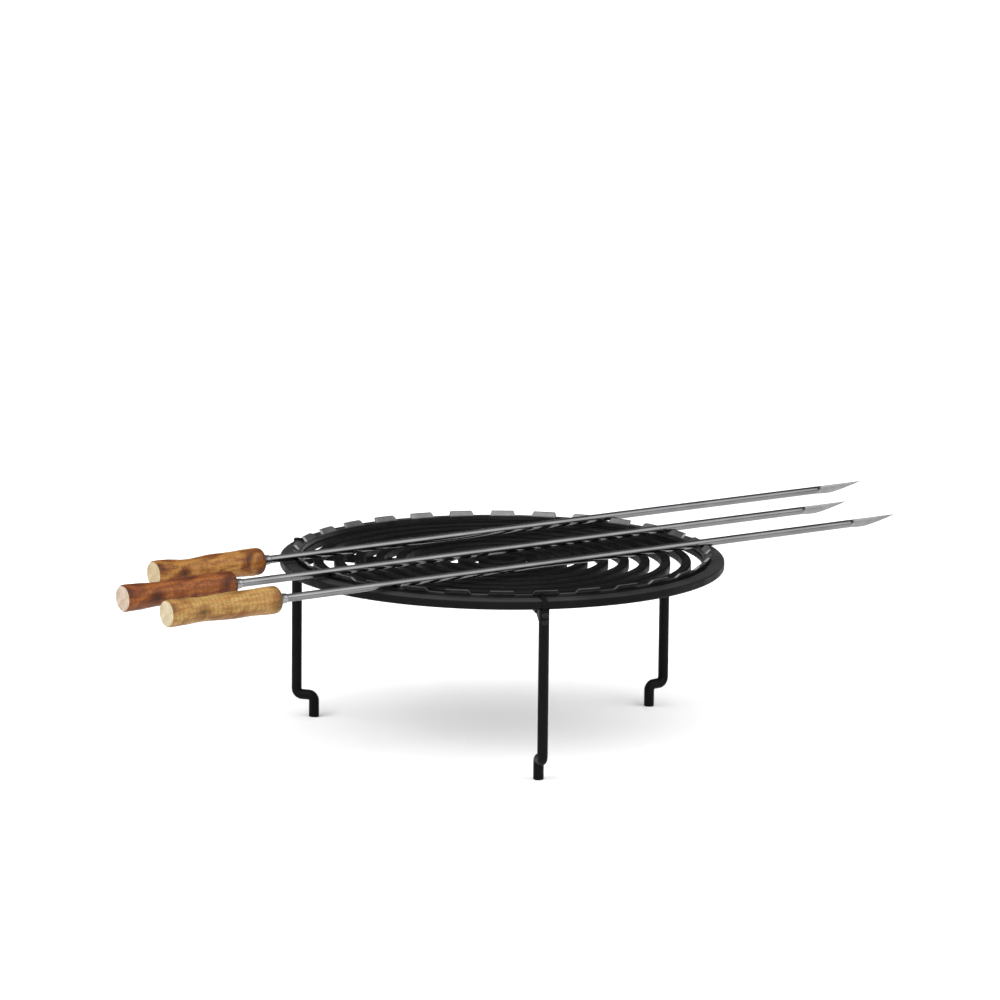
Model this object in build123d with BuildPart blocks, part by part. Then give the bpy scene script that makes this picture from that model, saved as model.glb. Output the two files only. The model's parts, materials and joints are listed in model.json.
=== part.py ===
"""Round grill grate on three Z-footed legs, with a notched skewer rack and three skewers.

Units are millimetres, +Z is up. The origin is on the grate's vertical axis, in the plane that the
three toes stand on. Angles round the axis are counted from -Y (the front), positive towards +X.
"""

from build123d import *

import os
from math import cos, radians, sin, sqrt

# ---------------------------------------------------------------- driving dimensions

# rim: an L-shaped ring, lip outside and ledge inside
RIM_OUTER_R = 280.0
RIM_INNER_R = 253.0
LIP_INNER_R = 263.0
RIM_TOP_Z = 229.0
RIM_HEIGHT = 12.0
LEDGE_DROP = 2.5
RIM_EDGE_R = 3.0
LIP_EDGE_R = 0.8

# cooking rings
RING_COUNT = 9
RING_FIRST_R = 24.0
RING_PITCH = 26.0
RING_WIDTH = 12.0
RING_HEIGHT = 12.0
RING_EDGE_R = 2.0

# legs, brackets and spokes, at three places round the rim
LEG_ANGLES = {"front": 10.7, "left": 10.7 - 120.0, "right": 10.7 + 120.0}
LEG_DIA = 13.0
LEG_CIRCLE_R = 277.5
TOE_CIRCLE_R = 253.5
FOOT_STEP_Z = 28.0
LEG_BEND_R = 7.5
TOE_CHAMFER = 1.0

SPOKE_WIDTH = 8.0
SPOKE_HEIGHT = 9.0
SPOKE_INNER_R = 18.5
SPOKE_OUTER_R = 243.0

BRACKET_THICK = 6.0
BRACKET_DEPTH = 22.0
BRACKET_FOOT_WIDTH = 4.0
TAB_INNER_R = 260.0
TAB_OUTER_R = 281.0
TAB_PROUD = 2.5
TAB_EDGE_R = 1.0
SLOT_GAP = 0.15

SCREW_DIA = 4.0
SCREW_HOLE_GAP = 0.05
SCREW_TIP_GAP = 1.0
SCREW_HEAD_DIA = 7.5
SCREW_HEAD_HEIGHT = 2.2
SCREW_HEAD_TAPER = 18.0
SCREW_LENGTH = 20.0
SCREW_DROPS = (6.0, 15.0)
HEX_ACROSS_FLATS = 2.5
HEX_DEPTH = 1.3

# skewer rack: hoop with teeth that lean outwards
TOOTH_COUNT = 30
HOOP_INNER_R = 254.0
HOOP_OUTER_R = 259.0
HOOP_HEIGHT = 5.5
HOOP_EDGE_R = 0.8
TOOTH_HEIGHT = 5.2
TOOTH_LEAN = 5.0
TOOTH_INNER_R = 255.2
TOOTH_OUTER_R = 259.0
TOOTH_BASE_WIDTH = 33.0
TOOTH_TOP_WIDTH = 28.0

# skewers
SKEWER_LENGTH = 1120.0
SKEWER_HEADING = 36.0
SKEWER_NOTCH_STEP = 24.0
SKEWER_SHIFTS = {"front": -7.0, "middle": -3.0, "back": 107.0}
ROD_DIA = 10.0
ROD_LIFT = 0.2
HANDLE_LENGTH = 156.0
HANDLE_BORE_GAP = 0.05
TANG_LENGTH = 95.0
# handle outline: distance from the butt and radius
HANDLE_OUTLINE = ((3.0, 16.6), (24.0, 16.4), (48.0, 15.2), (86.0, 16.4), (116.0, 16.2), (142.0, 17.0))
HANDLE_BUTT_R = 15.8
HANDLE_FRONT_R = 14.6
FERRULE_LENGTH = 14.0
FERRULE_REAR_R = 8.6
FERRULE_FRONT_R = 6.1
FERRULE_BAND_LENGTH = 3.4
FERRULE_NECK_START = 7.0
FERRULE_NECK_R = 6.6
FERRULE_BORE_GAP = 0.06
FERRULE_END_GAP = 0.15
# spear tip: distances from where the round rod ends, and heights from the rod's axis
TIP_LENGTH = 76.0
TIP_NECK = 10.0
TIP_NECK_HALF = 4.9
TIP_BELLY = (24.0, -4.5)
TIP_BACK_HEIGHT = 5.0
TIP_POINT_HEIGHT = 4.2
TIP_THICK = 3.2
TIP_NECK_THICK = 4.0

# how close an edge must be to a dimension to be picked by it
NEAR = 0.1

# ---------------------------------------------------------------- worked-out dimensions

LEDGE_Z = RIM_TOP_Z - LEDGE_DROP
RIM_BOTTOM_Z = RIM_TOP_Z - RIM_HEIGHT
RING_BOTTOM_Z = LEDGE_Z - RING_HEIGHT
NOTCH_FLOOR_Z = LEDGE_Z + HOOP_HEIGHT
ROD_AXIS_Z = NOTCH_FLOOR_Z + ROD_LIFT + ROD_DIA / 2
HOOP_MIDDLE_R = (HOOP_INNER_R + HOOP_OUTER_R) / 2
SKEWER_SPACING = HOOP_MIDDLE_R * sin(radians(SKEWER_NOTCH_STEP))
SKEWER_OFFSETS = {"front": SKEWER_SPACING, "middle": 0.0, "back": -SKEWER_SPACING}


def outwards(angle):
    """Unit vector from the axis towards a place round the rim."""
    return Vector(sin(radians(angle)), -cos(radians(angle)), 0)


def radial_plane(angle):
    """Plane through the grate's axis: its x runs outwards and its y runs up."""
    out = outwards(angle)
    return Plane(origin=(0, 0, 0), x_dir=out, z_dir=out.cross(Vector(0, 0, 1)))


def save(part, name):
    """Labels a finished piece and writes its STEP file."""
    part.label = name
    export_step(part, f"parts/{name}.step")


def make_rim():
    """L-section ring with soft edges and a radial slot for each bracket's tab."""
    with BuildPart() as rim:
        with BuildSketch(Plane.XZ):
            with BuildLine():
                Polyline(
                    (RIM_INNER_R, RIM_BOTTOM_Z),
                    (RIM_OUTER_R, RIM_BOTTOM_Z),
                    (RIM_OUTER_R, RIM_TOP_Z),
                    (LIP_INNER_R, RIM_TOP_Z),
                    (LIP_INNER_R, LEDGE_Z),
                    (RIM_INNER_R, LEDGE_Z),
                    close=True,
                )
            make_face()
        revolve(axis=Axis.Z)
        circles = rim.edges().filter_by(GeomType.CIRCLE)
        outer_edges = circles.filter_by(lambda e: e.radius > RIM_OUTER_R - NEAR)
        fillet(outer_edges, RIM_EDGE_R)
        lip_edges = rim.edges().filter_by(GeomType.CIRCLE).filter_by(
            lambda e: abs(e.radius - LIP_INNER_R) < NEAR and e.center().Z > RIM_TOP_Z - NEAR
        )
        fillet(lip_edges, LIP_EDGE_R)
        inner_edges = rim.edges().filter_by(GeomType.CIRCLE).filter_by(
            lambda e: e.radius < RIM_INNER_R + NEAR
        )
        fillet(inner_edges, RING_EDGE_R)
        for angle in LEG_ANGLES.values():
            with BuildSketch(radial_plane(angle)):
                with Locations((TAB_INNER_R - SLOT_GAP, RIM_TOP_Z)):
                    Rectangle(
                        2 * (RIM_OUTER_R - TAB_INNER_R),
                        3 * RIM_HEIGHT,
                        align=(Align.MIN, Align.CENTER),
                    )
            extrude(amount=BRACKET_THICK / 2 + SLOT_GAP, both=True, mode=Mode.SUBTRACT)
    return rim.part


def make_cooking_ring(radius):
    """One cooking ring: a square bar with soft edges."""
    with BuildPart() as ring:
        with BuildSketch(Plane.XZ):
            with Locations((radius, RING_BOTTOM_Z)):
                Rectangle(RING_WIDTH, RING_HEIGHT, align=(Align.CENTER, Align.MIN))
        revolve(axis=Axis.Z)
        fillet(ring.edges().filter_by(GeomType.CIRCLE), RING_EDGE_R)
    return ring.part


def make_spoke(angle):
    """Flat radial bar under the rings, running up to the bracket."""
    with BuildPart() as spoke:
        with BuildSketch(radial_plane(angle)):
            with BuildLine():
                Polyline(
                    (SPOKE_INNER_R, RING_BOTTOM_Z),
                    (SPOKE_OUTER_R, RING_BOTTOM_Z),
                    (SPOKE_OUTER_R, RING_BOTTOM_Z - SPOKE_HEIGHT),
                    (SPOKE_INNER_R + SPOKE_HEIGHT / 2, RING_BOTTOM_Z - SPOKE_HEIGHT),
                    (SPOKE_INNER_R, RING_BOTTOM_Z - SPOKE_HEIGHT / 2),
                    close=True,
                )
            make_face()
        extrude(amount=SPOKE_WIDTH / 2, both=True)
    return spoke.part


def screw_seat_r():
    """Radius of the flat that a screw head bears on, spot-faced into the round bar."""
    return LEG_CIRCLE_R + sqrt((LEG_DIA / 2) ** 2 - (SCREW_HEAD_DIA / 2) ** 2)


def make_bracket(angle):
    """Tapered gusset between spoke and leg. Its tab fills the rim's slot and stands proud of the lip."""
    leg_face_r = LEG_CIRCLE_R - LEG_DIA / 2
    hole_depth = SCREW_LENGTH - (screw_seat_r() - leg_face_r) + SCREW_TIP_GAP
    with BuildPart() as bracket:
        with BuildSketch(radial_plane(angle)):
            with BuildLine():
                Polyline(
                    (SPOKE_OUTER_R, RING_BOTTOM_Z),
                    (RIM_INNER_R, RIM_BOTTOM_Z),
                    (TAB_INNER_R, RIM_BOTTOM_Z),
                    (TAB_INNER_R, RIM_TOP_Z + TAB_PROUD),
                    (TAB_OUTER_R, RIM_TOP_Z + TAB_PROUD),
                    (TAB_OUTER_R, RIM_BOTTOM_Z),
                    (leg_face_r, RIM_BOTTOM_Z),
                    (leg_face_r, RIM_BOTTOM_Z - BRACKET_DEPTH),
                    (leg_face_r - BRACKET_FOOT_WIDTH, RIM_BOTTOM_Z - BRACKET_DEPTH),
                    (SPOKE_OUTER_R, RING_BOTTOM_Z - SPOKE_HEIGHT),
                    close=True,
                )
            make_face()
        extrude(amount=BRACKET_THICK / 2, both=True)
        tab_edges = bracket.edges().filter_by(
            lambda e: e.length > BRACKET_THICK - NEAR and e.center().Z > RIM_TOP_Z + TAB_PROUD - NEAR
        )
        fillet(tab_edges, TAB_EDGE_R)
        for drop in SCREW_DROPS:
            mouth = outwards(angle) * leg_face_r + Vector(0, 0, RIM_BOTTOM_Z - drop)
            with BuildSketch(Plane(origin=mouth, z_dir=-outwards(angle))):
                Circle(SCREW_DIA / 2 + SCREW_HOLE_GAP)
            extrude(amount=hole_depth, mode=Mode.SUBTRACT)
    return bracket.part


def make_leg(angle):
    """Round bar: straight down from the rim, a step inwards, and down to the toe."""
    with BuildPart() as leg:
        with BuildLine(radial_plane(angle)):
            FilletPolyline(
                (LEG_CIRCLE_R, RIM_BOTTOM_Z),
                (LEG_CIRCLE_R, FOOT_STEP_Z),
                (TOE_CIRCLE_R, FOOT_STEP_Z),
                (TOE_CIRCLE_R, 0),
                radius=LEG_BEND_R,
            )
        top = outwards(angle) * LEG_CIRCLE_R + Vector(0, 0, RIM_BOTTOM_Z)
        with BuildSketch(Plane(origin=top, z_dir=(0, 0, -1))):
            Circle(LEG_DIA / 2)
        sweep()
        toe_edge = leg.edges().filter_by(GeomType.CIRCLE).sort_by(Axis.Z)[0]
        chamfer(toe_edge, TOE_CHAMFER)
        for drop in SCREW_DROPS:
            start = outwards(angle) * (LEG_CIRCLE_R - LEG_DIA) + Vector(0, 0, RIM_BOTTOM_Z - drop)
            with BuildSketch(Plane(origin=start, z_dir=outwards(angle))):
                Circle(SCREW_DIA / 2 + SCREW_HOLE_GAP)
            extrude(amount=2 * LEG_DIA, mode=Mode.SUBTRACT)
            seat = outwards(angle) * screw_seat_r() + Vector(0, 0, RIM_BOTTOM_Z - drop)
            with BuildSketch(Plane(origin=seat, z_dir=outwards(angle))):
                Circle(SCREW_HEAD_DIA / 2 + SCREW_HOLE_GAP)
            extrude(amount=LEG_DIA / 2, mode=Mode.SUBTRACT)
    return leg.part


def make_screws():
    """Six button-head screws with hexagon sockets, two in each leg."""
    with BuildPart() as screws:
        for angle in LEG_ANGLES.values():
            for drop in SCREW_DROPS:
                seat = outwards(angle) * screw_seat_r() + Vector(0, 0, RIM_BOTTOM_Z - drop)
                seat_plane = Plane(origin=seat, z_dir=outwards(angle))
                with BuildSketch(seat_plane):
                    Circle(SCREW_DIA / 2)
                extrude(amount=-SCREW_LENGTH)
                with BuildSketch(seat_plane):
                    Circle(SCREW_HEAD_DIA / 2)
                extrude(amount=SCREW_HEAD_HEIGHT, taper=SCREW_HEAD_TAPER)
                head_top = seat_plane.offset(SCREW_HEAD_HEIGHT)
                with BuildSketch(head_top):
                    RegularPolygon(HEX_ACROSS_FLATS / 2, 6, major_radius=False)
                extrude(amount=-HEX_DEPTH, mode=Mode.SUBTRACT)
    return screws.part


def make_hoop():
    """Flat steel hoop that sits on the rim's ledge."""
    with BuildPart() as hoop:
        with BuildSketch(Plane.XY.offset(LEDGE_Z)):
            Circle(HOOP_OUTER_R)
            Circle(HOOP_INNER_R, mode=Mode.SUBTRACT)
        extrude(amount=HOOP_HEIGHT)
        fillet(hoop.edges().group_by(Axis.Z)[0], HOOP_EDGE_R)
    return hoop.part


def make_teeth():
    """Tooth plates on the hoop: each leans outwards and narrows towards its top edge."""
    top_z = NOTCH_FLOOR_Z + TOOTH_HEIGHT
    with BuildPart() as tooth:
        with BuildSketch(radial_plane(0)):
            with BuildLine():
                Polyline(
                    (TOOTH_INNER_R, NOTCH_FLOOR_Z),
                    (TOOTH_OUTER_R, NOTCH_FLOOR_Z),
                    (TOOTH_OUTER_R + TOOTH_LEAN, top_z),
                    (TOOTH_INNER_R + TOOTH_LEAN, top_z),
                    close=True,
                )
            make_face()
        extrude(amount=TOOTH_BASE_WIDTH / 2, both=True)
        with BuildSketch(Plane.XZ):
            with BuildLine():
                Polyline(
                    (-TOOTH_BASE_WIDTH / 2, NOTCH_FLOOR_Z),
                    (TOOTH_BASE_WIDTH / 2, NOTCH_FLOOR_Z),
                    (TOOTH_TOP_WIDTH / 2, top_z),
                    (-TOOTH_TOP_WIDTH / 2, top_z),
                    close=True,
                )
            make_face()
        extrude(amount=2 * HOOP_OUTER_R, mode=Mode.INTERSECT)
    with BuildPart() as teeth:
        with PolarLocations(0, TOOTH_COUNT):
            add(tooth.part)
    return teeth.part


def skewer_frame(name):
    """Plane in a skewer's axis: x runs from butt to tip, y runs level across it, origin at the butt."""
    heading = radians(SKEWER_HEADING)
    along = Vector(cos(heading), sin(heading), 0)
    across = Vector(sin(heading), -cos(heading), 0)
    butt = along * (SKEWER_SHIFTS[name] - SKEWER_LENGTH / 2) + across * SKEWER_OFFSETS[name]
    return Plane(origin=butt + Vector(0, 0, ROD_AXIS_Z), x_dir=along, z_dir=(0, 0, 1))


def cross_plane(frame, distance):
    """Plane square to a skewer, at a distance from its butt: its x runs level across the skewer."""
    origin = frame.from_local_coords((distance, 0, 0))
    return Plane(origin=origin, x_dir=frame.y_dir, z_dir=frame.x_dir)


def make_rod(frame):
    """Rod with its tang in the handle. Its end is forged flat and upright: a straight back and a
    belly that rises to the point."""
    tang_start = HANDLE_LENGTH - TANG_LENGTH
    tip_start = SKEWER_LENGTH - TIP_LENGTH
    neck = tip_start + TIP_NECK
    belly = (tip_start + TIP_BELLY[0], TIP_BELLY[1])
    upright = Plane(origin=frame.origin, x_dir=frame.x_dir, z_dir=-frame.y_dir)
    with BuildPart() as rod:
        with BuildSketch(cross_plane(frame, tang_start)):
            Circle(ROD_DIA / 2)
        extrude(amount=tip_start - tang_start)
        with BuildSketch(cross_plane(frame, tip_start)):
            Circle(ROD_DIA / 2)
        with BuildSketch(cross_plane(frame, neck)):
            Ellipse(TIP_NECK_THICK / 2, TIP_NECK_HALF)
        loft()
        with BuildSketch(upright):
            with BuildLine():
                Spline((neck, -TIP_NECK_HALF), belly, (SKEWER_LENGTH, TIP_POINT_HEIGHT))
                Line((SKEWER_LENGTH, TIP_POINT_HEIGHT), (SKEWER_LENGTH, TIP_BACK_HEIGHT))
                Line((SKEWER_LENGTH, TIP_BACK_HEIGHT), (neck, TIP_NECK_HALF))
                Line((neck, TIP_NECK_HALF), (neck, -TIP_NECK_HALF))
            make_face()
        extrude(amount=TIP_THICK / 2, both=True)
    return rod.part


def make_handle(frame):
    """Turned handle: rounded butt, waist, swell and rounded front, with a blind bore for the tang."""
    with BuildPart() as handle:
        with BuildSketch(frame):
            with BuildLine():
                Line((0, 0), (0, HANDLE_BUTT_R))
                Spline((0, HANDLE_BUTT_R), *HANDLE_OUTLINE, (HANDLE_LENGTH, HANDLE_FRONT_R))
                Line((HANDLE_LENGTH, HANDLE_FRONT_R), (HANDLE_LENGTH, 0))
                Line((HANDLE_LENGTH, 0), (0, 0))
            make_face()
        revolve(axis=Axis(frame.origin, frame.x_dir))
        mouth = frame.from_local_coords((HANDLE_LENGTH, 0, 0))
        with BuildSketch(Plane(origin=mouth, z_dir=-frame.x_dir)):
            Circle(ROD_DIA / 2 + HANDLE_BORE_GAP)
        extrude(amount=TANG_LENGTH, mode=Mode.SUBTRACT)
    return handle.part


def make_ferrule(frame):
    """Tapered collar round the rod, just in front of the handle."""
    rear = HANDLE_LENGTH + FERRULE_END_GAP
    bore_r = ROD_DIA / 2 + FERRULE_BORE_GAP
    with BuildPart() as ferrule:
        with BuildSketch(frame):
            with BuildLine():
                Polyline(
                    (rear, bore_r),
                    (rear, FERRULE_REAR_R),
                    (rear + FERRULE_BAND_LENGTH, FERRULE_REAR_R),
                    (rear + FERRULE_NECK_START, FERRULE_NECK_R),
                    (rear + FERRULE_LENGTH, FERRULE_FRONT_R),
                    (rear + FERRULE_LENGTH, bore_r),
                    close=True,
                )
            make_face()
        revolve(axis=Axis(frame.origin, frame.x_dir))
    return ferrule.part


# ---------------------------------------------------------------- build and write every piece

os.makedirs("parts", exist_ok=True)

save(make_rim(), "rim")
for number in range(RING_COUNT):
    save(make_cooking_ring(RING_FIRST_R + RING_PITCH * number), f"grate_ring_{number + 1}")
for place, leg_angle in LEG_ANGLES.items():
    save(make_spoke(leg_angle), f"spoke_{place}")
    save(make_bracket(leg_angle), f"bracket_{place}")
    save(make_leg(leg_angle), f"leg_{place}")
save(make_screws(), "leg_screws")
save(make_hoop(), "rack_hoop")
save(make_teeth(), "rack_teeth")
for which in SKEWER_OFFSETS:
    skewer = skewer_frame(which)
    save(make_rod(skewer), f"{which}_skewer_rod")
    save(make_ferrule(skewer), f"{which}_skewer_ferrule")
    save(make_handle(skewer), f"{which}_skewer_handle")
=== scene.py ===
"""Looks of a round grill grate with a notched skewer rack and three wood-handled skewers.

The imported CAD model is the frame: the grate, its legs and its screws keep their CAD shapes and get
materials and weld beads. The rack and the skewers are replaced by finer meshes built in the same places.
Lengths are metres, +Z is up, and the camera looks along +Y.
"""

import json
import math
import random

import bpy
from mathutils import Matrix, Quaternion, Vector, noise


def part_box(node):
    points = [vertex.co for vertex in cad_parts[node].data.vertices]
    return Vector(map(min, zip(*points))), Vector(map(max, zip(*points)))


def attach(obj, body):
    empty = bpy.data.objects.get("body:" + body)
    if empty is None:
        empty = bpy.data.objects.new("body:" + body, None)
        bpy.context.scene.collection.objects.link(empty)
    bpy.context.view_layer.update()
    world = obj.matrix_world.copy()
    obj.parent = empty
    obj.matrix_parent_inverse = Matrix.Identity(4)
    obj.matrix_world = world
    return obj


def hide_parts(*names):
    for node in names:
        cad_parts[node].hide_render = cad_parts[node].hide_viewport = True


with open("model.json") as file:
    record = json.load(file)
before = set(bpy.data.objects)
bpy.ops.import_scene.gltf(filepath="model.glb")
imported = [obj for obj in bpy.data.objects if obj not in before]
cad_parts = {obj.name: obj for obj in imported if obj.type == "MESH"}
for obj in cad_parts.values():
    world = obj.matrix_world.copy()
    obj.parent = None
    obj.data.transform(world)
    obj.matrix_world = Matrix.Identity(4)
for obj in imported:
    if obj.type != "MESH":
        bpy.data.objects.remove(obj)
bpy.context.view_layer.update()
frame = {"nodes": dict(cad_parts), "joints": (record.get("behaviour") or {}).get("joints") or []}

MM = 0.001
SKEWERS = ("front", "middle", "back")
SPOKES = ("front", "left", "right")

# ---------------------------------------------------------------- sizes

RIM_LOW, RIM_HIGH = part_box("rim")
RIM_TOP = RIM_HIGH.z
HOOP_LOW, HOOP_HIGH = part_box("rack_hoop")
TEETH_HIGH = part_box("rack_teeth")[1]

# rack band, round the same circles as the CAD hoop and teeth
TOOTH_COUNT = 30
RACK_BEVEL = 0.45 * MM
HOOP_OUTER = HOOP_HIGH.x
HOOP_INNER = HOOP_OUTER - 5.0 * MM
TOOTH_INNER = HOOP_OUTER - 3.8 * MM
TOOTH_LEAN = TEETH_HIGH.x - HOOP_OUTER
TOOTH_BASE_HALF = 16.5 * MM
TOOTH_TOP_HALF = 14.0 * MM

# handles: distances from the butt and radii, in millimetres
HANDLE_OUTLINE = (
    (0.0, 15.2), (1.6, 16.1), (4.0, 16.6), (24.0, 16.4), (48.0, 15.2), (86.0, 16.4),
    (116.0, 16.2), (142.0, 17.0), (151.0, 16.9), (154.6, 16.2), (156.0, 15.0),
)
BUTT_RADII = (2.0, 6.0, 10.0, 13.6)
BUTT_DOME = 0.4 * MM
HANDLE_BORE = 5.05 * MM
BORE_DEPTH = 30.0 * MM
WAIST_PLACE = 50.0 * MM
WAIST_LENGTH = 24.0 * MM
FINE_LUMPS = 0.16 * MM
# the bore and the butt's dome, inside this radius, stay round
LUMPY_FROM_RADIUS = 14.0 * MM
# points round a handle or a ferrule
LATHE_SEGMENTS = 96

# rods: a flat upright blade follows the round bar
ROD_RADIUS = 5.0 * MM
ROD_IN_HANDLE = 28.0 * MM
ROD_SEGMENTS = 32
TIP_LENGTH = 76.0 * MM
TIP_NECK = 10.0 * MM
TIP_BELLY = 24.0 * MM
BELLY_DROP = 0.9 * MM
POINT_RISE = 5.1 * MM
POINT_HALF = 0.25 * MM
BLADE_HALF_THICKNESS = 1.9 * MM
GROUND_FROM = 5.0 * MM
FERRULE_BORE = 5.06 * MM

# weld beads
WELD_RADIUS = 1.25 * MM
WELD_STEP = 0.9 * MM
WELD_SIDES = 10
WELD_SEED = 40
WELD_SINK = 0.3 * MM
RING_HALF_WIDTH = 6.0 * MM
# where their middle lines lie beside the spokes and out from the axis, in millimetres
RING_WELD_OFFSET = 4.2
RING_WELD_HALF = 3.6
RIM_WELD_OFFSET = 3.2
RIM_WELD_START = 254.5
FOOT_WELD_OFFSET = 3.6
LEG_WELD_OFFSET = 3.1

# where two ends of one mesh meet, points this close are joined
SEAM = 0.01 * MM

CAMERA_DISTANCE = 7.0
CAMERA_ELEVATION = math.radians(11.2)
CAMERA_LENS = 200.0
CAMERA_SENSOR = 36.0
# the rim's centre is this far below and right of the picture's centre
AIM_DOWN = math.radians(0.575)
AIM_RIGHT = math.radians(0.029)
CAMERA_ROLL = math.radians(0.6)


# ---------------------------------------------------------------- material nodes

# nearly all of a noise texture's values lie in this span
NOISE = (0.3, 0.7)
BLACK = (0.0, 0.0, 0.0)
WHITE = (1.0, 1.0, 1.0)


class Surface:
    """One material's node tree, with a short call for each kind of node."""

    def __init__(self, name, metallic=0.0, specular=0.5, coat=0.0, coat_roughness=0.2):
        self.material = bpy.data.materials.new(name)
        self.material.use_nodes = True
        self.nodes = self.material.node_tree.nodes
        self.links = self.material.node_tree.links
        self.nodes.clear()
        self.shader = self.nodes.new("ShaderNodeBsdfPrincipled")
        self.shader.inputs["Metallic"].default_value = metallic
        self.shader.inputs["Specular IOR Level"].default_value = specular
        self.shader.inputs["Coat Weight"].default_value = coat
        self.shader.inputs["Coat Roughness"].default_value = coat_roughness
        output = self.nodes.new("ShaderNodeOutputMaterial")
        self.links.new(self.shader.outputs["BSDF"], output.inputs["Surface"])
        self.normal = None

    def put(self, value, socket):
        """Links an output to a socket, or sets a plain value on it."""
        if isinstance(value, bpy.types.NodeSocket):
            self.links.new(value, socket)
        else:
            socket.default_value = value

    def place(self, origin=(0.0, 0.0, 0.0), heading=0.0, stretch=(1.0, 1.0, 1.0)):
        """Object coordinates from an origin, turned so that x runs along a heading, and stretched."""
        coordinates = self.nodes.new("ShaderNodeTexCoord")
        shift = self.nodes.new("ShaderNodeVectorMath")
        shift.operation = "SUBTRACT"
        self.links.new(coordinates.outputs["Object"], shift.inputs[0])
        shift.inputs[1].default_value = origin
        turn = self.nodes.new("ShaderNodeVectorRotate")
        turn.rotation_type = "Z_AXIS"
        self.links.new(shift.outputs[0], turn.inputs["Vector"])
        turn.inputs["Angle"].default_value = -heading
        scale = self.nodes.new("ShaderNodeVectorMath")
        scale.operation = "MULTIPLY"
        self.links.new(turn.outputs[0], scale.inputs[0])
        scale.inputs[1].default_value = stretch
        return scale.outputs[0]

    def noise(self, vector, scale, detail, distortion=0.0):
        node = self.nodes.new("ShaderNodeTexNoise")
        self.links.new(vector, node.inputs["Vector"])
        node.inputs["Scale"].default_value = scale
        node.inputs["Detail"].default_value = detail
        node.inputs["Distortion"].default_value = distortion
        return node.outputs["Fac"]

    def wave(self, vector, kind, direction, scale, distortion, detail_scale):
        node = self.nodes.new("ShaderNodeTexWave")
        node.wave_type = kind
        if kind == "RINGS":
            node.rings_direction = direction
        else:
            node.bands_direction = direction
        self.links.new(vector, node.inputs["Vector"])
        node.inputs["Scale"].default_value = scale
        node.inputs["Distortion"].default_value = distortion
        node.inputs["Detail Scale"].default_value = detail_scale
        return node.outputs["Fac"]

    def cells(self, vector, scale):
        node = self.nodes.new("ShaderNodeTexVoronoi")
        self.links.new(vector, node.inputs["Vector"])
        node.inputs["Scale"].default_value = scale
        return node.outputs["Distance"]

    def ramp(self, factor, *stops):
        """Colour ramp: each stop is a place and a colour."""
        node = self.nodes.new("ShaderNodeValToRGB")
        self.links.new(factor, node.inputs["Fac"])
        elements = node.color_ramp.elements
        while len(elements) < len(stops):
            elements.new(0.5)
        for element, (place, colour) in zip(elements, stops):
            element.position = place
            element.color = (*colour, 1.0)
        return node.outputs["Color"]

    def remap(self, value, low, high, start=0.0, end=1.0):
        """A value from start to end becomes one from low to high."""
        node = self.nodes.new("ShaderNodeMapRange")
        self.put(value, node.inputs["Value"])
        node.inputs["From Min"].default_value = start
        node.inputs["From Max"].default_value = end
        node.inputs["To Min"].default_value = low
        node.inputs["To Max"].default_value = high
        return node.outputs["Result"]

    def mix(self, factor, first, second, blend="MIX"):
        node = self.nodes.new("ShaderNodeMix")
        node.data_type = "RGBA"
        node.blend_type = blend
        self.put(factor, node.inputs["Factor"])
        self.put(first if isinstance(first, bpy.types.NodeSocket) else (*first, 1.0), node.inputs["A"])
        self.put(second if isinstance(second, bpy.types.NodeSocket) else (*second, 1.0), node.inputs["B"])
        return node.outputs["Result"]

    def split(self, vector):
        node = self.nodes.new("ShaderNodeSeparateXYZ")
        self.links.new(vector, node.inputs["Vector"])
        return node.outputs

    def bump(self, height, depth, strength):
        """Adds a bump of a depth in metres on top of the earlier ones."""
        node = self.nodes.new("ShaderNodeBump")
        node.inputs["Strength"].default_value = strength
        node.inputs["Distance"].default_value = depth
        self.put(height, node.inputs["Height"])
        if self.normal is not None:
            self.links.new(self.normal, node.inputs["Normal"])
        self.normal = node.outputs["Normal"]

    def finish(self, colour, roughness):
        self.put(colour, self.shader.inputs["Base Color"])
        self.put(roughness, self.shader.inputs["Roughness"])
        if self.normal is not None:
            self.links.new(self.normal, self.shader.inputs["Normal"])
        return self.material


def grate_material(name, lip_top=None):
    """Seasoned black steel, faintly mottled, with a fine cast grain. A lip's top is painted lighter as a
    painted highlight.
    """
    s = Surface(name, specular=0.075)
    at = s.place()
    mottle = s.noise(at, 14.0, 5.0, 0.4)
    grain = s.noise(at, 900.0, 4.0)
    pits = s.cells(at, 420.0)
    colour = s.ramp(
        mottle,
        (0.25, (0.0016, 0.0016, 0.0015)),
        (0.6, (0.003, 0.003, 0.0029)),
        (0.85, (0.007, 0.0069, 0.0065)),
    )
    if lip_top is not None:
        height = s.split(at)["Z"]
        # painted highlight: the top two millimetres of the lip get a lighter grey than the rest of the black
        lip_highlight = s.ramp(mottle, (0.3, (0.016, 0.016, 0.0158)), (0.75, (0.03, 0.03, 0.0295)))
        colour = s.mix(s.remap(height, 0.0, 1.0, lip_top - 2.2 * MM, lip_top - 0.5 * MM), colour, lip_highlight)
    roughness = s.remap(s.noise(at, 60.0, 4.0), 0.42, 0.62, *NOISE)
    s.bump(s.remap(pits, 0.0, 1.0, 0.0, 0.5), 0.00006, 0.6)
    s.bump(grain, 0.00008, 0.8)
    return s.finish(colour, roughness)


def leg_material():
    """Black powder coat on round bar: an even satin black with a slight orange peel."""
    s = Surface("leg_black", specular=0.08)
    at = s.place()
    patches = s.noise(at, 30.0, 4.0)
    colour = s.ramp(patches, (0.3, (0.0013, 0.0013, 0.0013)), (0.75, (0.0024, 0.0024, 0.0024)))
    roughness = s.remap(s.noise(at, 90.0, 3.0), 0.4, 0.55, *NOISE)
    s.bump(s.noise(at, 650.0, 2.0), 0.00005, 0.7)
    return s.finish(colour, roughness)


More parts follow.
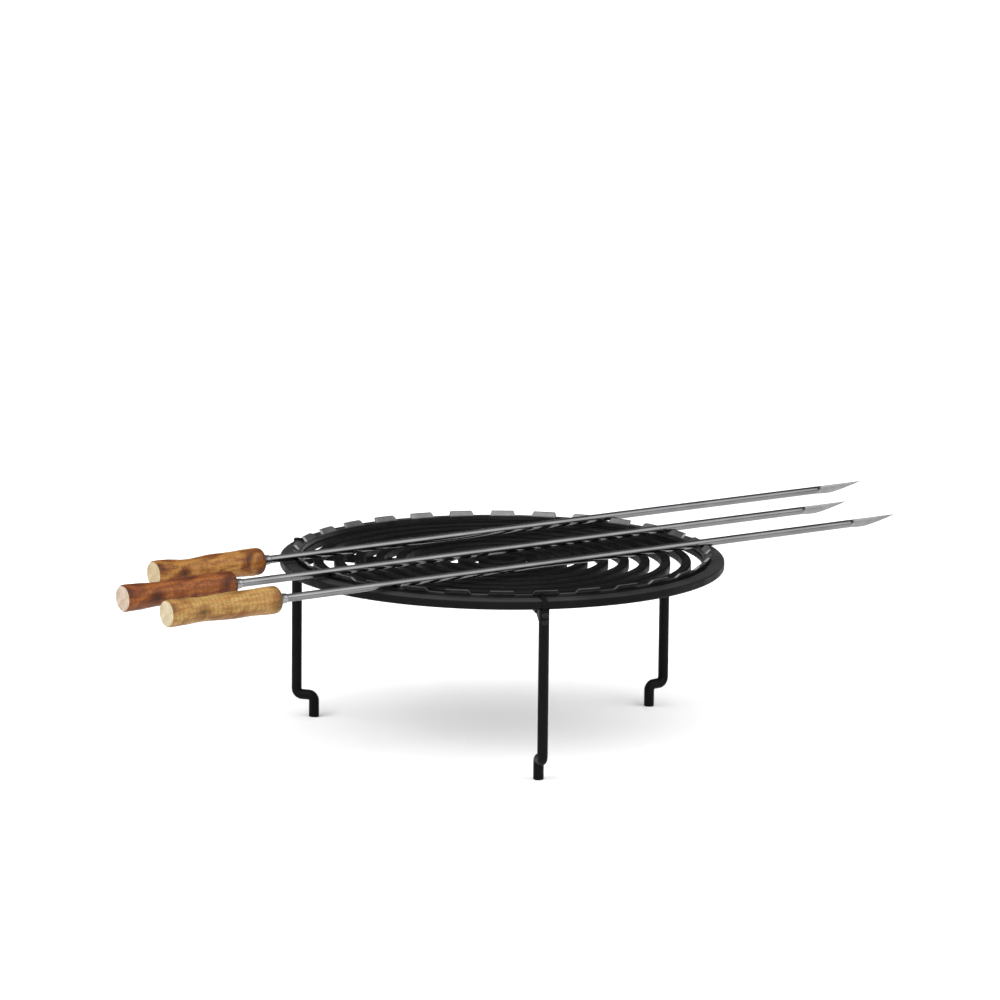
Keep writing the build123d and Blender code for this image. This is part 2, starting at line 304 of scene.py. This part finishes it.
def screw_material():
    """Blackened screw heads, worn slightly bright."""
    s = Surface("screw_black", metallic=0.7, specular=0.4)
    at = s.place()
    colour = s.ramp(s.noise(at, 500.0, 4.0), (0.35, (0.008, 0.008, 0.008)), (0.7, (0.022, 0.022, 0.022)))
    s.bump(s.noise(at, 1500.0, 3.0), 0.00003, 0.6)
    return s.finish(colour, s.remap(s.noise(at, 700.0, 2.0), 0.35, 0.6, *NOISE))


def weld_material():
    """Weld beads under the grate's black."""
    s = Surface("weld_black", specular=0.12)
    at = s.place()
    colour = s.ramp(s.noise(at, 260.0, 4.0), (0.3, (0.003, 0.003, 0.003)), (0.8, (0.008, 0.0078, 0.0075)))
    s.bump(s.noise(at, 1200.0, 3.0), 0.00006, 0.8)
    return s.finish(colour, s.remap(s.noise(at, 300.0, 3.0), 0.4, 0.62, *NOISE))


def rack_material():
    """Dark hoop with lighter teeth, as painted shade on the hoop and painted light on the teeth, with a
    rolled grain and faint stains.
    """
    s = Surface("rack_steel", metallic=0.85, specular=0.3)
    at = s.place()
    stains = s.noise(at, 26.0, 5.0, 0.6)
    # painted shade: the hoop's colour is darker than the teeth's, and painted light makes the teeth lighter
    hoop = s.ramp(
        stains, (0.28, (0.016, 0.016, 0.017)), (0.55, (0.028, 0.028, 0.029)), (0.8, (0.06, 0.059, 0.058))
    )
    teeth = s.ramp(
        stains, (0.28, (0.09, 0.09, 0.092)), (0.55, (0.16, 0.16, 0.162)), (0.8, (0.25, 0.248, 0.245))
    )
    # painted light and shade split by height: the darker colour below the hoop's top, the lighter one above
    # it
    height = s.split(s.place(origin=(0.0, 0.0, HOOP_HIGH.z)))["Z"]
    colour = s.mix(s.remap(height, 0.0, 1.0, -0.3 * MM, 0.8 * MM), hoop, teeth)
    rolled = s.noise(s.place(stretch=(1.0, 1.0, 9.0)), 240.0, 4.0)
    s.bump(rolled, 0.00004, 0.6)
    s.bump(s.cells(at, 700.0), 0.00003, 0.4)
    return s.finish(colour, s.remap(rolled, 0.34, 0.52, *NOISE))


def rod_material(name, heading, colour_low, colour_high, rough_low, rough_high):
    """Drawn steel bar: fine lines along the bar, small dull patches."""
    s = Surface(name, metallic=1.0)
    lines = s.noise(s.place(heading=heading, stretch=(0.02, 1.0, 1.0)), 2600.0, 3.0)
    patches = s.noise(s.place(heading=heading, stretch=(0.35, 1.0, 1.0)), 60.0, 5.0, 0.5)
    colour = s.mix(patches, colour_low, colour_high)
    s.bump(lines, 0.00002, 0.5)
    return s.finish(colour, s.remap(patches, rough_low, rough_high, *NOISE))


def ground_material(heading):
    """Ground steel of the spear tip: scratched across the blade, lighter and duller than the rod."""
    s = Surface("tip_steel", metallic=1.0)
    across = s.place(heading=heading + math.radians(62.0), stretch=(0.03, 1.0, 1.0))
    scratches = s.noise(across, 2200.0, 4.0)
    clouds = s.noise(s.place(heading=heading), 90.0, 4.0)
    s.bump(scratches, 0.00004, 0.7)
    colour = s.mix(clouds, (0.18, 0.18, 0.18), (0.32, 0.32, 0.32))
    return s.finish(colour, s.remap(scratches, 0.3, 0.5, *NOISE))


def wood_material(name, origin, heading, length, tints, turned, seed):
    """Turned wood, grain along the handle: year rings, streaks, mottled patches, pores and turning lines.

    The length is the handle's, tints are the light, middle and dark colours and the colour of the streaks,
    and turned is how strongly the lathe's lines show.
    """
    light, middle, dark, streak = tints
    s = Surface(name, specular=0.2, coat=0.03, coat_roughness=0.3)
    off_centre = origin + Vector((0.0, 0.0, 0.045 + 0.004 * seed))
    grain_at = s.place(off_centre, heading, (0.12, 1.0, 1.0))
    rings = s.wave(grain_at, "RINGS", "X", 46.0, 5.5, 22.0)
    long_at = s.place(origin, heading, (0.16, 1.0, 1.0))
    streaks = s.noise(long_at, 120.0 + 9.0 * seed, 5.0, 1.2)
    patches = s.noise(s.place(origin, heading, (0.7, 1.0, 1.0)), 34.0 + 3.0 * seed, 4.0, 0.9)
    pores = s.noise(s.place(origin, heading, (0.07, 1.0, 1.0)), 1500.0, 3.0)
    turning = s.wave(s.place(origin, heading), "BANDS", "X", 52.0, 4.0, 3.0)

    base = s.ramp(patches, (0.34, dark), (0.46, middle), (0.6, light))
    ringed = s.mix(s.remap(rings, 0.0, 0.38), base, middle, "MULTIPLY")
    streaked = s.mix(s.remap(streaks, 0.0, 0.75, 0.52, 0.72), ringed, streak)
    lined = s.mix(s.remap(turning, 0.0, turned, 0.45, 1.0), streaked, dark)
    pored = s.mix(s.remap(pores, 0.0, 0.4, 0.55, 0.75), lined, dark)
    # the front edge is scorched in dots
    distance = s.split(s.place(origin, heading))["X"]
    dots = s.remap(s.noise(s.place(origin, heading), 330.0, 3.0), 0.0, 1.0, 0.4, 0.58)
    scorched = s.mix(s.remap(distance, 0.0, 0.9, length - 14 * MM, length - 4 * MM), BLACK, WHITE)
    colour = s.mix(s.mix(dots, BLACK, scorched), pored, dark)
    s.bump(pores, 0.00012, 0.5)
    s.bump(turning, 0.0001, 0.45)
    return s.finish(colour, s.remap(streaks, 0.36, 0.56, *NOISE))


def end_grain_material(name, origin, heading, light, dark):
    """Sawn end of a handle: pale, with year rings, specks and blotches."""
    s = Surface(name, specular=0.25)
    at = s.place(origin + Vector((0.0, 0.0, 0.006)), heading, (0.3, 1.0, 1.0))
    rings = s.wave(at, "RINGS", "X", 190.0, 1.4, 9.0)
    specks = s.noise(s.place(origin, heading), 900.0, 4.0)
    blotches = s.noise(s.place(origin, heading), 130.0, 4.0, 0.6)
    base = s.mix(s.remap(blotches, 0.0, 0.8, 0.35, 0.75), light, dark)
    ringed = s.mix(s.remap(rings, 0.0, 0.28), base, dark)
    s.bump(specks, 0.00015, 0.7)
    s.bump(rings, 0.0001, 0.3)
    return s.finish(s.mix(s.remap(specks, 0.0, 0.3, 0.55, 0.75), ringed, dark), 0.75)


# ---------------------------------------------------------------- mesh building


def add_piece(name, vertices, faces, body, materials, face_materials=None):
    """Makes a smooth-shaded mesh with the given materials that rides on a CAD body."""
    mesh = bpy.data.meshes.new(name)
    mesh.from_pydata([tuple(v) for v in vertices], [], faces)
    mesh.validate()
    for material in materials:
        mesh.materials.append(material)
    if face_materials is not None:
        mesh.polygons.foreach_set("material_index", face_materials)
    mesh.shade_smooth()
    piece = bpy.data.objects.new(name, mesh)
    bpy.context.scene.collection.objects.link(piece)
    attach(piece, body)
    return piece


def bevel(piece, width):
    """Softens a piece's sharp edges so that they catch the light."""
    soft = piece.modifiers.new("soft_edges", "BEVEL")
    soft.width = width
    soft.segments = 2
    soft.limit_method = "ANGLE"
    soft.angle_limit = math.radians(40.0)
    soft.harden_normals = True


def close_seam(piece):
    """Joins the points of a closed loop's last row with those of its first."""
    weld = piece.modifiers.new("close_seam", "WELD")
    weld.merge_threshold = SEAM


def join_rows(rows, closed_ends=True):
    """Points and faces between neighbouring rows, with the first and last row closed by a fan if asked."""
    vertices = [p for row in rows for p in row]
    count = len(rows[0])
    faces = []
    for r in range(len(rows) - 1):
        for c in range(count):
            a = r * count + c
            b = r * count + (c + 1) % count
            faces.append((a, b, b + count, a + count))
    if closed_ends:
        for row, start in ((rows[0], 0), (rows[-1], (len(rows) - 1) * count)):
            middle = sum((Vector(p) for p in row), Vector()) / count
            hub = len(vertices)
            vertices.append(middle)
            for c in range(count):
                pair = (start + c, start + (c + 1) % count)
                faces.append((hub, *(pair if start else pair[::-1])))
    return vertices, faces


def smooth_curve(points, steps):
    """Points on a cubic that passes through the given ones (Catmull-Rom)."""
    given = [Vector(p) for p in points]
    padded = [2 * given[0] - given[1], *given, 2 * given[-1] - given[-2]]
    made = []
    for i in range(1, len(padded) - 2):
        p0, p1, p2, p3 = padded[i - 1 : i + 3]
        for k in range(steps):
            t = k / steps
            a = 2 * p1 + (p2 - p0) * t
            b = (2 * p0 - 5 * p1 + 4 * p2 - p3) * t**2
            c = (3 * p1 - p0 - 3 * p2 + p3) * t**3
            made.append((a + b + c) / 2)
    made.append(given[-1])
    return made


class Skewer:
    """A skewer's own axes, and the distances from its butt at which its CAD pieces start and end."""

    def __init__(self, which):
        joint = next(j for j in frame["joints"] if j["name"] == f"{which}_skewer_turn")
        self.which = which
        self.along = Vector(joint["axis"]).normalized()
        self.up = Vector((0.0, 0.0, 1.0))
        self.side = self.along.cross(self.up)
        self.origin = Vector(joint["pos_m"])
        butt, self.handle_end = self.reach("handle")
        self.origin = self.origin + self.along * butt
        self.handle_end -= butt
        self.rod_end = self.reach("rod")[1]
        self.ferrule_start, self.ferrule_end = self.reach("ferrule")
        low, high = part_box(f"{which}_skewer_ferrule")
        self.ferrule_radius = (high.z - low.z) / 2
        self.heading = math.atan2(self.along.y, self.along.x)

    def reach(self, piece):
        """Lowest and highest distance along the axis of a CAD piece of this skewer."""
        mesh = frame["nodes"][f"{self.which}_skewer_{piece}"].data
        distances = [(v.co - self.origin).dot(self.along) for v in mesh.vertices]
        return min(distances), max(distances)

    def point(self, distance, side, up):
        return self.origin + self.along * distance + self.side * side + self.up * up

    def lathe(self, outline, segments, radius_at=lambda distance, angle, radius: radius):
        """Rows of points round the axis, for an outline of distances and radii."""
        rows = []
        for distance, radius in outline:
            row = []
            for k in range(segments):
                angle = 2 * math.pi * k / segments
                r = radius_at(distance, angle, radius)
                row.append(self.point(distance, r * math.cos(angle), r * math.sin(angle)))
            rows.append(row)
        return rows


# ---------------------------------------------------------------- skewers

# each handle's wood: its slot, the tints of its side and end, its lumps and waist, and its lathe lines
WOODS = {
    "front": {
        "slot": "pale_wood",
        "tints": (
            (0.38, 0.235, 0.072), (0.255, 0.125, 0.03), (0.085, 0.046, 0.012), (0.26, 0.075, 0.016),
        ),
        "end": ((0.54, 0.47, 0.33), (0.3, 0.23, 0.13)),
        "lumps": 0.6 * MM,
        "waist": 0.2 * MM,
        "turned": 0.3,
    },
    "middle": {
        "slot": "red_wood",
        "tints": (
            (0.25, 0.08, 0.015), (0.135, 0.032, 0.005), (0.042, 0.01, 0.0025), (0.09, 0.017, 0.003),
        ),
        "end": ((0.52, 0.43, 0.35), (0.28, 0.19, 0.12)),
        "lumps": 0.7 * MM,
        "waist": 0.5 * MM,
        "turned": 0.22,
    },
    "back": {
        "slot": "amber_wood",
        "tints": (
            (0.35, 0.165, 0.036), (0.195, 0.062, 0.0085), (0.055, 0.016, 0.003), (0.05, 0.014, 0.003),
        ),
        "end": ((0.48, 0.4, 0.26), (0.3, 0.21, 0.1)),
        "lumps": 0.9 * MM,
        "waist": 1.7 * MM,
        "turned": 0.16,
    },
}


def make_handle(skewer, seed):
    """Hand-turned handle: a smooth outline with low lumps, rounded ends and a bore for the rod."""
    wood = WOODS[skewer.which]
    curve = smooth_curve([(distance, radius, 0.0) for distance, radius in HANDLE_OUTLINE], 12)
    outline = [(p.x * MM, p.y * MM) for p in curve]
    length = skewer.handle_end
    butt = HANDLE_OUTLINE[0][1]
    dome = [(-BUTT_DOME * (1 - (radius / butt) ** 2), radius * MM) for radius in BUTT_RADII]
    mouth = [
        (length, HANDLE_BORE + 4.0 * MM), (length, HANDLE_BORE + 0.6 * MM),
        (length - 0.8 * MM, HANDLE_BORE), (length - BORE_DEPTH, HANDLE_BORE),
    ]

    def lumpy(distance, angle, radius):
        if radius < LUMPY_FROM_RADIUS:
            return radius
        place = Vector((distance * 26, math.cos(angle) * 0.55, math.sin(angle) * 0.55 + seed * 7.3))
        fine = Vector((distance * 120, math.cos(angle) * 1.6, math.sin(angle) * 1.6 + seed * 3.1))
        ends = min(1.0, distance / (8 * MM), (length - distance) / (8 * MM))
        lumps = wood["lumps"] * noise.noise(place) + FINE_LUMPS * noise.noise(fine)
        radius -= wood["waist"] * math.exp(-(((distance - WAIST_PLACE) / WAIST_LENGTH) ** 2))
        return radius + max(ends, 0.0) * lumps

    rows = skewer.lathe(dome + outline + mouth, LATHE_SEGMENTS, lumpy)
    vertices, faces = join_rows(rows)
    axes = (skewer.origin, skewer.heading)
    grain = wood_material(f"{skewer.which}_wood", *axes, length, wood["tints"], wood["turned"], seed)
    end_grain = end_grain_material(f"{skewer.which}_end_grain", *axes, *wood["end"])
    # the butt, its fan and the bore show end grain
    quads = (len(rows) - 1) * LATHE_SEGMENTS
    side_start = len(dome) * LATHE_SEGMENTS
    side_end = (len(dome) + len(outline)) * LATHE_SEGMENTS
    marks = [0] * len(faces)
    for i in (*range(side_start), *range(side_end, quads + LATHE_SEGMENTS)):
        marks[i] = 1
    name, body = f"{skewer.which}_turned_handle", f"{skewer.which}_skewer"
    piece = add_piece(name, vertices, faces, body, [grain, end_grain], marks)
    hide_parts(f"{skewer.which}_skewer_handle")


def make_rod(skewer):
    """Round bar drawn out into a flat upright blade: straight back, belly rising to the point."""
    tip_start = skewer.rod_end - TIP_LENGTH
    start = skewer.handle_end - ROD_IN_HANDLE
    bar_steps, tip_steps = 60, 40
    straight = [start + (tip_start - start) * k / bar_steps for k in range(bar_steps + 1)]
    rows = skewer.lathe([(distance, ROD_RADIUS) for distance in straight], ROD_SEGMENTS)
    for k in range(1, tip_steps + 1):
        distance = k / tip_steps * TIP_LENGTH
        flat = min(1.0, distance / TIP_NECK)
        flat = flat * flat * (3 - 2 * flat)
        t = max(0.0, distance - TIP_BELLY) / (TIP_LENGTH - TIP_BELLY)
        swell = min(1.0, distance / TIP_BELLY)
        belly = BELLY_DROP * math.sin(swell * math.pi / 2)
        bottom = -ROD_RADIUS - belly + (ROD_RADIUS + POINT_RISE) * t**1.35
        middle = (ROD_RADIUS + bottom) / 2
        half = max((ROD_RADIUS - bottom) / 2, POINT_HALF)
        thick = ROD_RADIUS + (BLADE_HALF_THICKNESS - ROD_RADIUS) * flat
        thick *= 1 - 0.8 * t**2
        row = []
        for i in range(ROD_SEGMENTS):
            angle = 2 * math.pi * i / ROD_SEGMENTS
            # the section goes from a circle to a flat lens with a soft ridge
            c, s = math.cos(angle), math.sin(angle)
            lens = math.copysign(abs(c) ** (1 + 0.35 * flat), c)
            row.append(skewer.point(tip_start + distance, thick * lens, middle + half * s))
        rows.append(row)
    vertices, faces = join_rows(rows)
    # the ground part starts along a slanting line
    marks = [0] * len(faces)
    shoulder = tip_start + GROUND_FROM
    for i, face in enumerate(faces):
        centre = sum((Vector(vertices[v]) for v in face), Vector()) / len(face)
        offset = centre - skewer.origin
        if offset.dot(skewer.along) - 0.7 * offset.dot(skewer.up) > shoulder:
            marks[i] = 1
    drawn = rod_material(
        f"{skewer.which}_rod_steel", skewer.heading, (0.12, 0.12, 0.124), (0.25, 0.25, 0.254), 0.14, 0.24
    )
    materials = [drawn, ground_material(skewer.heading)]
    name, body = f"{skewer.which}_spear", f"{skewer.which}_skewer"
    piece = add_piece(name, vertices, faces, body, materials, marks)
    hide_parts(f"{skewer.which}_skewer_rod")


def make_ferrule(skewer):
    """Spun steel ferrule: a rolled lip, a band crimped in eight places and a tapered nose."""
    start, end = skewer.ferrule_start, skewer.ferrule_end
    r = skewer.ferrule_radius
    outline = [
        (start, FERRULE_BORE), (start, r - 1.0 * MM),
        (start + 0.3 * MM, r - 0.3 * MM), (start + 1.0 * MM, r),
        (start + 1.7 * MM, r - 0.35 * MM), (start + 2.2 * MM, r - 0.75 * MM),
        (start + 3.4 * MM, r - 0.8 * MM), (start + 5.0 * MM, r - 1.1 * MM),
        (start + 7.0 * MM, r - 1.9 * MM), (start + 9.5 * MM, r - 2.3 * MM),
        (end - 1.2 * MM, r - 2.5 * MM), (end - 0.3 * MM, r - 2.7 * MM),
        (end, r - 3.1 * MM), (end, FERRULE_BORE),
    ]

    def crimped(distance, angle, radius):
        depth = math.exp(-(((distance - start - 4.2 * MM) / (1.5 * MM)) ** 2))
        return radius - 0.45 * MM * depth * max(0.0, math.cos(8 * angle)) ** 2

    rows = skewer.lathe(outline, LATHE_SEGMENTS, crimped)
    rows.append(rows[0])
    vertices, faces = join_rows(rows, closed_ends=False)
    material = rod_material(
        f"{skewer.which}_ferrule_steel", skewer.heading, (0.24, 0.24, 0.25), (0.4, 0.4, 0.41), 0.2, 0.32
    )
    name = f"{skewer.which}_spun_ferrule"
    piece = add_piece(name, vertices, faces, f"{skewer.which}_collar", [material])
    close_seam(piece)
    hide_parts(f"{skewer.which}_skewer_ferrule")


# ---------------------------------------------------------------- rack


def tooth_share(angle):
    """How far up its tooth the band reaches at an angle from the front: 0 in a notch, 1 on top."""
    pitch = 2 * math.pi / TOOTH_COUNT
    from_tooth = abs((angle + pitch / 2) % pitch - pitch / 2) * HOOP_OUTER
    share = (TOOTH_BASE_HALF - from_tooth) / (TOOTH_BASE_HALF - TOOTH_TOP_HALF)
    return min(1.0, max(0.0, share))


def make_rack():
    """One steel band: a low hoop whose teeth lean outwards, with the notches cut between them."""
    floor, top = HOOP_HIGH.z, TEETH_HIGH.z
    pitch = 2 * math.pi / TOOTH_COUNT
    edge_base = TOOTH_BASE_HALF / HOOP_OUTER
    edge_top = TOOTH_TOP_HALF / HOOP_OUTER
    flat_steps, slope_steps = 8, 6
    across = [edge_top * (2 * k / flat_steps - 1) for k in range(flat_steps + 1)]
    across += [edge_top + (edge_base - edge_top) * k / slope_steps for k in range(1, slope_steps + 1)]
    across += [edge_base + (pitch - 2 * edge_base) * k / flat_steps for k in range(1, flat_steps + 1)]
    across += [pitch - edge_base + (edge_base - edge_top) * k / slope_steps for k in range(1, slope_steps)]
    rows = []
    for tooth in range(TOOTH_COUNT):
        for step in across:
            angle = tooth * pitch + step
            share = tooth_share(angle)
            lean = TOOTH_LEAN * share
            z = floor + (top - floor) * share
            step_in = TOOTH_INNER - HOOP_INNER
            section = [
                (HOOP_INNER, HOOP_LOW.z), (HOOP_OUTER, HOOP_LOW.z), (HOOP_OUTER, (HOOP_LOW.z + floor) / 2),
                (HOOP_OUTER, floor - 0.4 * MM), (HOOP_OUTER + lean * 0.45, floor + (z - floor) * 0.5),
                (HOOP_OUTER + lean, z), (TOOTH_INNER + lean, z),
                (TOOTH_INNER + lean * 0.45, floor + (z - floor) * 0.5),
                (TOOTH_INNER - step_in * (0.4 + 0.6 * (1 - share)), floor), (HOOP_INNER, floor - 0.4 * MM),
            ]
            rows.append([Vector((r * math.sin(angle), -r * math.cos(angle), h)) for r, h in section])
    rows.append(rows[0])
    vertices, faces = join_rows(rows, closed_ends=False)
    faces = [face[::-1] for face in faces]
    piece = add_piece("notched_band", vertices, faces, "rack", [rack_material()])
    close_seam(piece)
    bevel(piece, RACK_BEVEL)
    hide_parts("rack_hoop", "rack_teeth")


# ---------------------------------------------------------------- weld beads


def bead(start, end, out, radius, rng):
    """Rows of a rippled weld bead from start to end, bulging towards out."""
    line = end - start
    along = line.normalized()
    side = along.cross(out).normalized()
    count = max(5, int(line.length / WELD_STEP))
    rows = []
    for k in range(count + 1):
        t = k / count
        ends = math.sin(math.pi * min(1.0, max(0.0, t))) ** 0.35 if 0 < t < 1 else 0.12
        ripple = 1 + 0.10 * math.sin(k * 2.4) + rng.uniform(-0.07, 0.07)
        r = radius * ends * ripple
        centre = start + line * t
        row = []
        for i in range(WELD_SIDES):
            angle = 2 * math.pi * i / WELD_SIDES
            row.append(centre + (out * math.cos(angle) + side * math.sin(angle)) * r)
        rows.append(row)
    return rows


def make_beads(name, lines, radius, seed, material):
    """One mesh of many weld beads: each line is a start, an end and the way it bulges."""
    rng = random.Random(seed)
    vertices, faces = [], []
    for start, end, out in lines:
        new_vertices, new_faces = join_rows(bead(start, end, out, radius, rng))
        base = len(vertices)
        vertices += new_vertices
        faces += [tuple(i + base for i in face) for face in new_faces]
    return add_piece(name, vertices, faces, "grate", [material])


def spoke_direction(place):
    """Unit vector from the axis towards a leg, from the middle of its CAD bracket."""
    low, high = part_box(f"bracket_{place}")
    middle = (low + high) / 2
    return Vector((middle.x, middle.y, 0.0)).normalized()


def farthest(node, direction):
    """How far a CAD node reaches along a level direction."""
    return max(v.co.dot(direction) for v in frame["nodes"][node].data.vertices)


def make_grate_welds():
    """Beads along both sides of each spoke where a cooking ring crosses it, and round each bracket."""
    material = weld_material()
    up = Vector((0.0, 0.0, 1.0))
    for index, place in enumerate(SPOKES):
        out = spoke_direction(place)
        side = up.cross(out)
        spoke_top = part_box(f"spoke_{place}")[1].z
        lines = []
        for number in range(1, 10):
            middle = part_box(f"grate_ring_{number}")[1].x - RING_HALF_WIDTH
            for hand in (-1.0, 1.0):
                corner = out * middle + side * hand * RING_WELD_OFFSET * MM + up * (spoke_top - WELD_SINK)
                bulge = (side * hand - up).normalized()
                lines.append((corner - out * RING_WELD_HALF * MM, corner + out * RING_WELD_HALF * MM, bulge))
        rim_under = RIM_LOW.z
        spoke_end = farthest(f"spoke_{place}", out)
        leg_face = farthest(f"bracket_{place}", out)
        for hand in (-1.0, 1.0):
            corner = side * hand * RIM_WELD_OFFSET * MM + up * (rim_under - WELD_SINK)
            bulge = (side * hand - up).normalized()
            lines.append((corner + out * RIM_WELD_START * MM, corner + out * (leg_face - 1.0 * MM), bulge))
            foot = side * hand * FOOT_WELD_OFFSET * MM + out * spoke_end
            low, high = up * (spoke_top - 8.0 * MM), up * (spoke_top - 1.0 * MM)
            lines.append((foot + low, foot + high, side * hand))
            leg_side = side * hand * LEG_WELD_OFFSET * MM + out * (leg_face + 0.5 * MM)
            low, high = up * (rim_under - 20.5 * MM), up * (rim_under - 2.5 * MM)
            lines.append((leg_side + low, leg_side + high, side * hand))
        make_beads(f"welds_{place}", lines, WELD_RADIUS, WELD_SEED + index, material)


# ---------------------------------------------------------------- CAD nodes that stay

GRATE_NODES = [f"grate_ring_{n}" for n in range(1, 10)]
GRATE_NODES += [f"spoke_{place}" for place in SPOKES] + [f"bracket_{place}" for place in SPOKES]


def set_material(node, material):
    """Gives a CAD node that stays visible its material."""
    shown = frame["nodes"][node]
    shown.data.materials.clear()
    shown.data.materials.append(material)


def finish_cad_nodes():
    grate, leg, screw = grate_material("grate_black"), leg_material(), screw_material()
    for node in GRATE_NODES:
        set_material(node, grate)
    # the rim's lip gets a painted highlight along its top
    set_material("rim", grate_material("rim_black", RIM_TOP))
    for place in SPOKES:
        set_material(f"leg_{place}", leg)
    set_material("leg_screws", screw)


# ---------------------------------------------------------------- studio

FLOOR_HALF = 30.0
LIGHT_AIM = Vector((0.0, 0.0, 0.2))
# each light's name, place, side in metres and power in watts
SOFTBOXES = (
    ("key", (-2.6, -3.4, 3.6), 2.2, 60.0),
    ("fill", (3.2, -2.4, 2.6), 2.6, 20.0),
    ("top", (0.0, 1.6, 4.2), 3.0, 15.0),
)


def make_camera():
    """Camera at the photograph's viewing angle, aimed a little above the rim's centre."""
    data = bpy.data.cameras.new("camera")
    data.lens = CAMERA_LENS
    data.sensor_width = CAMERA_SENSOR
    data.clip_start, data.clip_end = 0.1, 200.0
    camera = bpy.data.objects.new("camera", data)
    bpy.context.scene.collection.objects.link(camera)
    back = Vector((0.0, -math.cos(CAMERA_ELEVATION), math.sin(CAMERA_ELEVATION)))
    camera.location = Vector((0.0, 0.0, RIM_TOP)) + back * CAMERA_DISTANCE
    turn = (-back).to_track_quat("-Z", "Y")
    turn = turn @ Quaternion((0.0, 1.0, 0.0), AIM_RIGHT) @ Quaternion((1.0, 0.0, 0.0), AIM_DOWN)
    camera.rotation_mode = "QUATERNION"
    camera.rotation_quaternion = turn @ Quaternion((0.0, 0.0, 1.0), CAMERA_ROLL)
    bpy.context.scene.camera = camera


def make_floor():
    """A wide, plain, nearly white floor."""
    corners = [(x * FLOOR_HALF, y * FLOOR_HALF, 0) for x, y in ((-1, -1), (1, -1), (1, 1), (-1, 1))]
    mesh = bpy.data.meshes.new("floor")
    mesh.from_pydata(corners, [], [(0, 1, 2, 3)])
    s = Surface("floor_white", specular=0.0)
    s.finish((0.93, 0.93, 0.93, 1.0), 0.9)
    mesh.materials.append(s.material)
    floor = bpy.data.objects.new("floor", mesh)
    bpy.context.scene.collection.objects.link(floor)


def make_sky():
    """Studio surroundings: bright overhead and in front, grey low down, dark at the back for the steel.

    They are only reflected and light the object. What the camera sees beyond the floor is plain white.
    """
    world = bpy.data.worlds.new("studio")
    world.use_nodes = True
    bpy.context.scene.world = world
    nodes, links = world.node_tree.nodes, world.node_tree.links
    nodes.clear()
    coordinates = nodes.new("ShaderNodeTexCoord")
    parts = nodes.new("ShaderNodeSeparateXYZ")
    links.new(coordinates.outputs["Generated"], parts.inputs["Vector"])
    ramp = nodes.new("ShaderNodeValToRGB")
    links.new(parts.outputs["Z"], ramp.inputs["Fac"])
    stops = ((0.0, 0.3), (0.16, 0.4), (0.34, 0.8), (0.6, 1.0))
    elements = ramp.color_ramp.elements
    while len(elements) < len(stops):
        elements.new(0.5)
    for element, (place, value) in zip(elements, stops):
        element.position = place
        element.color = (value, value, value, 1.0)
    screen = nodes.new("ShaderNodeMapRange")
    screen.inputs["From Min"].default_value = 0.0
    screen.inputs["From Max"].default_value = 0.4
    screen.inputs["To Min"].default_value = 2.3
    screen.inputs["To Max"].default_value = 0.15
    links.new(parts.outputs["Y"], screen.inputs["Value"])
    background = nodes.new("ShaderNodeBackground")
    links.new(ramp.outputs["Color"], background.inputs["Color"])
    links.new(screen.outputs["Result"], background.inputs["Strength"])
    plain = nodes.new("ShaderNodeBackground")
    plain.inputs["Color"].default_value = (*WHITE, 1.0)
    rays = nodes.new("ShaderNodeLightPath")
    choice = nodes.new("ShaderNodeMixShader")
    links.new(rays.outputs["Is Camera Ray"], choice.inputs["Fac"])
    links.new(background.outputs["Background"], choice.inputs[1])
    links.new(plain.outputs["Background"], choice.inputs[2])
    output = nodes.new("ShaderNodeOutputWorld")
    links.new(choice.outputs["Shader"], output.inputs["Surface"])


def add_softbox(name, place, size, power):
    """A large square area light that points at the grate."""
    data = bpy.data.lights.new(name, "AREA")
    data.shape = "SQUARE"
    data.size = size
    data.energy = power
    light = bpy.data.objects.new(name, data)
    bpy.context.scene.collection.objects.link(light)
    light.location = place
    light.rotation_mode = "QUATERNION"
    light.rotation_quaternion = (LIGHT_AIM - Vector(place)).to_track_quat("-Z", "Y")


def make_lights():
    for name, place, size, power in SOFTBOXES:
        add_softbox(name, place, size, power)
    view = bpy.context.scene.view_settings
    view.view_transform = "Standard"
    view.look = "None"


# ---------------------------------------------------------------- build

make_camera()
make_floor()
make_sky()
make_lights()
finish_cad_nodes()
make_grate_welds()
make_rack()
for number, which in enumerate(SKEWERS):
    skewer = Skewer(which)
    make_handle(skewer, number + 1)
    make_rod(skewer)
    make_ferrule(skewer)
